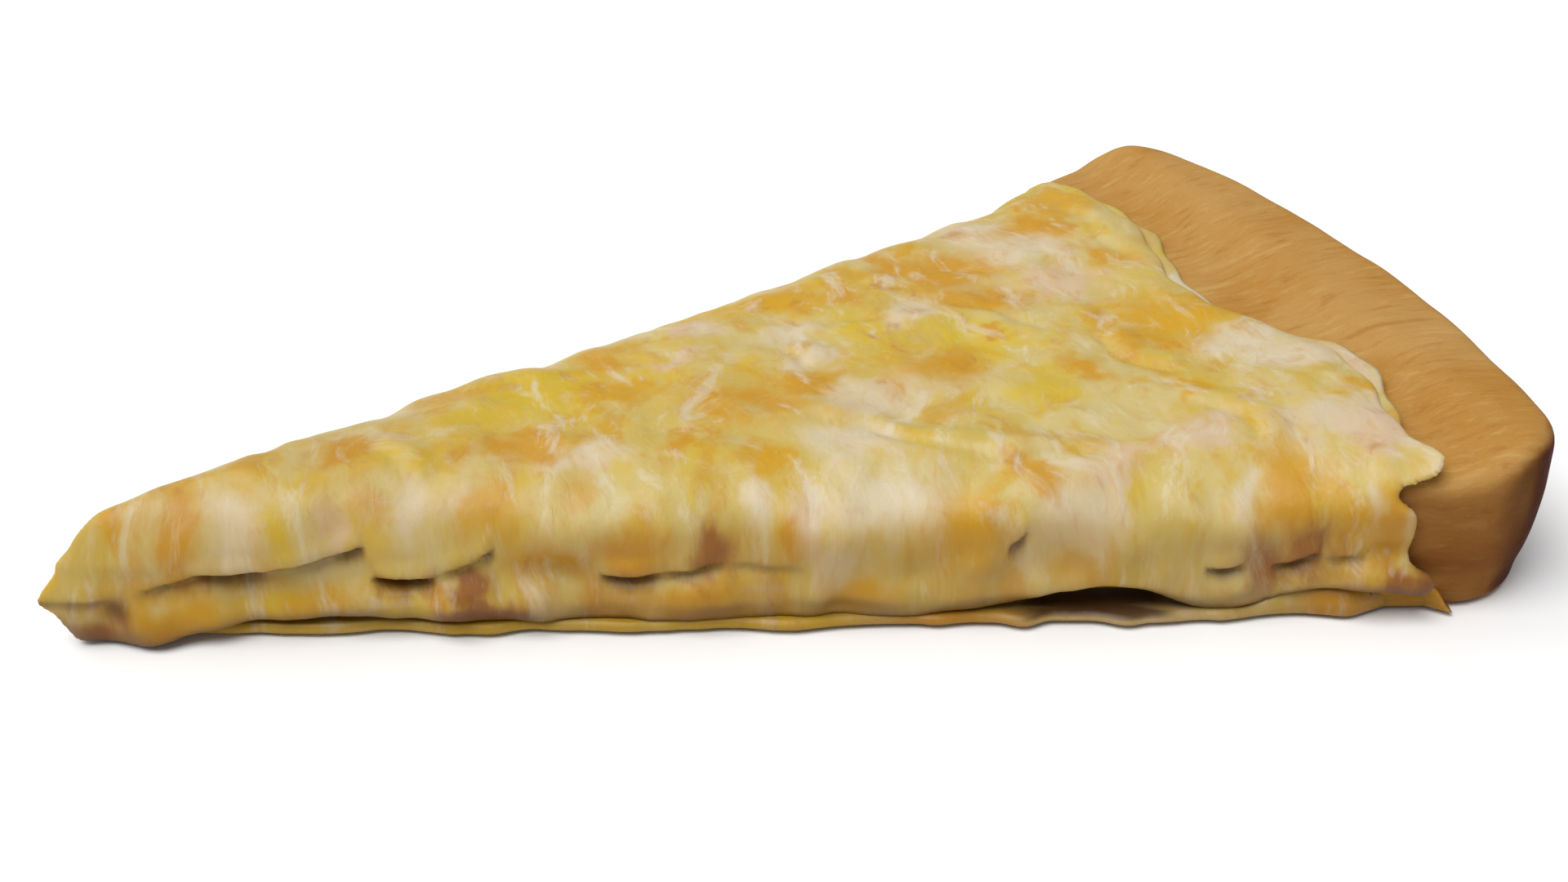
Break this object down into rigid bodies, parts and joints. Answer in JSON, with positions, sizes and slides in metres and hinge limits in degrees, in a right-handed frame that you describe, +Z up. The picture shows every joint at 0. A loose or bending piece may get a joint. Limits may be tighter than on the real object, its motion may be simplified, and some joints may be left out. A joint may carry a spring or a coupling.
{
  "type": "cheese pizza slice",
  "caption": "Wedge-shaped pizza slice with a thick raised crust rim and a lumpy blanket of melted cheese that hangs over its cut sides, lying flat.",
  "frame": {"origin": "middle of the slice's bounding box, on the flat underside it rests on", "axes": "+X from the tip to the crust rim, +Z up out of the cheese top, +Y to the left cut side seen from the tip"},
  "size_m": [0.1818, 0.1062, 0.0216],
  "materials": {
    "crust": "baked dough, dry and matte, darker at the foot",
    "cheese_lower": "thin baked cheese, soft sheen",
    "cheese_upper": "melted and browned cheese in cream, yellow and orange patches, soft sheen"
  },
  "bodies": {
    "root": {"crust": "crust", "cheese_lower": "cheese_lower", "cheese_upper": "cheese_upper"}
  },
  "joints": []
}
